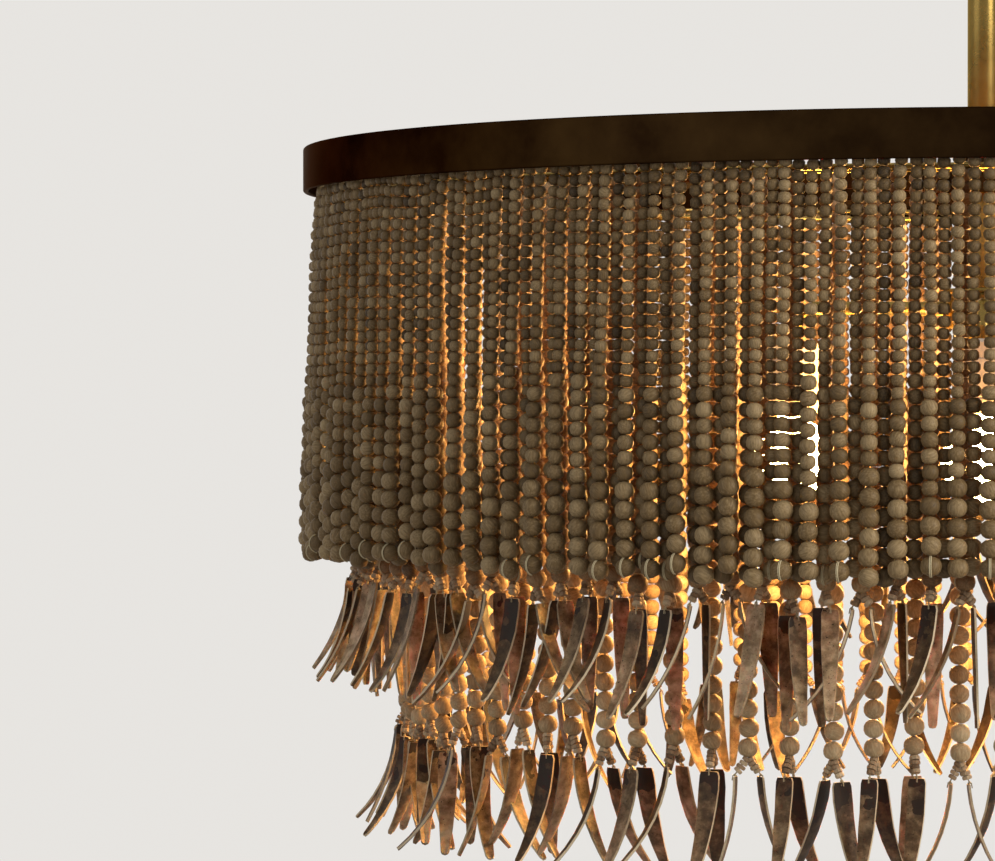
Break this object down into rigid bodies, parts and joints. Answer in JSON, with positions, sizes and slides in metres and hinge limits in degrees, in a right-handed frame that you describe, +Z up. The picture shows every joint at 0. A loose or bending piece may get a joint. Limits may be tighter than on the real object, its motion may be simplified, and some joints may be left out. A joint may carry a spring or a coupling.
{
  "type": "beaded chandelier",
  "caption": "Round drum chandelier with tiers of strung wooden beads and curved slivers under a plain metal band, on a rod and swivel from a ceiling canopy.",
  "frame": {"origin": "middle of the fixing bar's back face, on the ceiling", "axes": "+Z up into the ceiling, the drum's axis; -Y towards the viewer of the picture, +X to the viewer's right"},
  "size_m": [0.763, 0.763, 0.763],
  "materials": {
    "brass": "satin antique brass",
    "dark_bronze": "dark aged bronze, satin",
    "steel": "zinc plated",
    "holder": "smooth matte",
    "bulb_glass": "opal",
    "outer_beads": "washed, fine grain",
    "middle_beads": "washed, fine grain",
    "inner_beads": "washed, fine grain"
  },
  "bodies": {
    "ceiling_fixing": {"fixing_bar": "steel", "bar_screw_left": "steel", "bar_screw_right": "steel", "nipple": "steel", "ceiling_canopy": "brass", "collar_nut": "brass"},
    "swivel": {"swivel_yoke": "brass", "swivel_pin": "steel"},
    "shade_frame": {"swivel_knuckle": "brass", "stem_rod": "brass", "hub": "dark_bronze", "spoke_1": "dark_bronze", "spoke_2": "dark_bronze", "spoke_3": "dark_bronze", "spoke_4": "dark_bronze", "band": "dark_bronze", "outer_rail": "brass", "middle_rail": "brass", "inner_rail": "brass", "drop_tube": "brass", "cluster_body": "brass", "end_cap": "brass", "lamp_arm_1": "brass", "lamp_arm_2": "brass", "lamp_arm_3": "brass", "lamp_arm_4": "brass", "lamp_holder_1": "holder", "lamp_holder_2": "holder", "lamp_holder_3": "holder", "lamp_holder_4": "holder"},
    "bulb_1": {"bulb_1": "bulb_glass"},
    "bulb_2": {"bulb_2": "bulb_glass"},
    "bulb_3": {"bulb_3": "bulb_glass"},
    "bulb_4": {"bulb_4": "bulb_glass"},
    "outer_strands_1": {"outer_strands_1": "outer_beads"},
    "outer_strands_2": {"outer_strands_2": "outer_beads"},
    "outer_strands_3": {"outer_strands_3": "outer_beads"},
    "outer_strands_4": {"outer_strands_4": "outer_beads"},
    "outer_strands_5": {"outer_strands_5": "outer_beads"},
    "outer_strands_6": {"outer_strands_6": "outer_beads"},
    "outer_strands_7": {"outer_strands_7": "outer_beads"},
    "outer_strands_8": {"outer_strands_8": "outer_beads"},
    "outer_strands_9": {"outer_strands_9": "outer_beads"},
    "outer_strands_10": {"outer_strands_10": "outer_beads"},
    "outer_strands_11": {"outer_strands_11": "outer_beads"},
    "outer_strands_12": {"outer_strands_12": "outer_beads"},
    "middle_strands_1": {"middle_strands_1": "middle_beads"},
    "middle_strands_2": {"middle_strands_2": "middle_beads"},
    "middle_strands_3": {"middle_strands_3": "middle_beads"},
    "middle_strands_4": {"middle_strands_4": "middle_beads"},
    "middle_strands_5": {"middle_strands_5": "middle_beads"},
    "middle_strands_6": {"middle_strands_6": "middle_beads"},
    "inner_strands_1": {"inner_strands_1": "inner_beads"},
    "inner_strands_2": {"inner_strands_2": "inner_beads"},
    "inner_strands_3": {"inner_strands_3": "inner_beads"},
    "inner_strands_4": {"inner_strands_4": "inner_beads"},
    "inner_strands_5": {"inner_strands_5": "inner_beads"},
    "inner_strands_6": {"inner_strands_6": "inner_beads"}
  },
  "joints": [
    {"name": "stem_turn", "type": "hinge", "parent": "ceiling_fixing", "child": "swivel", "pos_m": [0, 0, -0.0346], "axis": [0, 0, 1], "range_deg": [-170, 170]},
    {"name": "stem_tilt", "type": "hinge", "parent": "swivel", "child": "shade_frame", "pos_m": [0, 0, -0.0586], "axis": [1, 0, 0], "range_deg": [-25, 25]},
    {"name": "bulb_1_unscrew", "type": "hinge", "parent": "shade_frame", "child": "bulb_1", "pos_m": [0.106, 0, -0.5352], "axis": [0, 0, -1], "range_deg": [0, 1080]},
    {"name": "bulb_2_unscrew", "type": "hinge", "parent": "shade_frame", "child": "bulb_2", "pos_m": [0, 0.106, -0.5352], "axis": [0, 0, -1], "range_deg": [0, 1080]},
    {"name": "bulb_3_unscrew", "type": "hinge", "parent": "shade_frame", "child": "bulb_3", "pos_m": [-0.106, 0, -0.5352], "axis": [0, 0, -1], "range_deg": [0, 1080]},
    {"name": "bulb_4_unscrew", "type": "hinge", "parent": "shade_frame", "child": "bulb_4", "pos_m": [0, -0.106, -0.5352], "axis": [0, 0, -1], "range_deg": [0, 1080]},
    {"name": "outer_strands_1_swing", "type": "hinge", "parent": "shade_frame", "child": "outer_strands_1", "pos_m": [0.35903, 0.0962, -0.4085], "axis": [0.2588, -0.9659, 0], "range_deg": [0, 8]},
    {"name": "outer_strands_2_swing", "type": "hinge", "parent": "shade_frame", "child": "outer_strands_2", "pos_m": [0.26283, 0.26283, -0.4085], "axis": [0.7071, -0.7071, 0], "range_deg": [0, 8]},
    {"name": "outer_strands_3_swing", "type": "hinge", "parent": "shade_frame", "child": "outer_strands_3", "pos_m": [0.0962, 0.35903, -0.4085], "axis": [0.9659, -0.2588, 0], "range_deg": [0, 8]},
    {"name": "outer_strands_4_swing", "type": "hinge", "parent": "shade_frame", "child": "outer_strands_4", "pos_m": [-0.0962, 0.35903, -0.4085], "axis": [0.9659, 0.2588, 0], "range_deg": [0, 8]},
    {"name": "outer_strands_5_swing", "type": "hinge", "parent": "shade_frame", "child": "outer_strands_5", "pos_m": [-0.26283, 0.26283, -0.4085], "axis": [0.7071, 0.7071, 0], "range_deg": [0, 8]},
    {"name": "outer_strands_6_swing", "type": "hinge", "parent": "shade_frame", "child": "outer_strands_6", "pos_m": [-0.35903, 0.0962, -0.4085], "axis": [0.2588, 0.9659, 0], "range_deg": [0, 8]},
    {"name": "outer_strands_7_swing", "type": "hinge", "parent": "shade_frame", "child": "outer_strands_7", "pos_m": [-0.35903, -0.0962, -0.4085], "axis": [-0.2588, 0.9659, 0], "range_deg": [0, 8]},
    {"name": "outer_strands_8_swing", "type": "hinge", "parent": "shade_frame", "child": "outer_strands_8", "pos_m": [-0.26283, -0.26283, -0.4085], "axis": [-0.7071, 0.7071, 0], "range_deg": [0, 8]},
    {"name": "outer_strands_9_swing", "type": "hinge", "parent": "shade_frame", "child": "outer_strands_9", "pos_m": [-0.0962, -0.35903, -0.4085], "axis": [-0.9659, 0.2588, 0], "range_deg": [0, 8]},
    {"name": "outer_strands_10_swing", "type": "hinge", "parent": "shade_frame", "child": "outer_strands_10", "pos_m": [0.0962, -0.35903, -0.4085], "axis": [-0.9659, -0.2588, 0], "range_deg": [0, 8]},
    {"name": "outer_strands_11_swing", "type": "hinge", "parent": "shade_frame", "child": "outer_strands_11", "pos_m": [0.26283, -0.26283, -0.4085], "axis": [-0.7071, -0.7071, 0], "range_deg": [0, 8]},
    {"name": "outer_strands_12_swing", "type": "hinge", "parent": "shade_frame", "child": "outer_strands_12", "pos_m": [0.35903, -0.0962, -0.4085], "axis": [-0.2588, -0.9659, 0], "range_deg": [0, 8]},
    {"name": "middle_strands_1_swing", "type": "hinge", "parent": "shade_frame", "child": "middle_strands_1", "pos_m": [0.30545, 0.17635, -0.415], "axis": [0.5, -0.866, 0], "range_deg": [0, 2.5]},
    {"name": "middle_strands_2_swing", "type": "hinge", "parent": "shade_frame", "child": "middle_strands_2", "pos_m": [0, 0.3527, -0.415], "axis": [1, 0, 0], "range_deg": [0, 2.5]},
    {"name": "middle_strands_3_swing", "type": "hinge", "parent": "shade_frame", "child": "middle_strands_3", "pos_m": [-0.30545, 0.17635, -0.415], "axis": [0.5, 0.866, 0], "range_deg": [0, 2.5]},
    {"name": "middle_strands_4_swing", "type": "hinge", "parent": "shade_frame", "child": "middle_strands_4", "pos_m": [-0.30545, -0.17635, -0.415], "axis": [-0.5, 0.866, 0], "range_deg": [0, 2.5]},
    {"name": "middle_strands_5_swing", "type": "hinge", "parent": "shade_frame", "child": "middle_strands_5", "pos_m": [0, -0.3527, -0.415], "axis": [-1, 0, 0], "range_deg": [0, 2.5]},
    {"name": "middle_strands_6_swing", "type": "hinge", "parent": "shade_frame", "child": "middle_strands_6", "pos_m": [0.30545, -0.17635, -0.415], "axis": [-0.5, -0.866, 0], "range_deg": [0, 2.5]},
    {"name": "inner_strands_1_swing", "type": "hinge", "parent": "shade_frame", "child": "inner_strands_1", "pos_m": [0.2825, 0.1631, -0.415], "axis": [0.5, -0.866, 0], "range_deg": [0, 1.5]},
    {"name": "inner_strands_2_swing", "type": "hinge", "parent": "shade_frame", "child": "inner_strands_2", "pos_m": [0, 0.3262, -0.415], "axis": [1, 0, 0], "range_deg": [0, 1.5]},
    {"name": "inner_strands_3_swing", "type": "hinge", "parent": "shade_frame", "child": "inner_strands_3", "pos_m": [-0.2825, 0.1631, -0.415], "axis": [0.5, 0.866, 0], "range_deg": [0, 1.5]},
    {"name": "inner_strands_4_swing", "type": "hinge", "parent": "shade_frame", "child": "inner_strands_4", "pos_m": [-0.2825, -0.1631, -0.415], "axis": [-0.5, 0.866, 0], "range_deg": [0, 1.5]},
    {"name": "inner_strands_5_swing", "type": "hinge", "parent": "shade_frame", "child": "inner_strands_5", "pos_m": [0, -0.3262, -0.415], "axis": [-1, 0, 0], "range_deg": [0, 1.5]},
    {"name": "inner_strands_6_swing", "type": "hinge", "parent": "shade_frame", "child": "inner_strands_6", "pos_m": [0.2825, -0.1631, -0.415], "axis": [-0.5, -0.866, 0], "range_deg": [0, 1.5]}
  ]
}
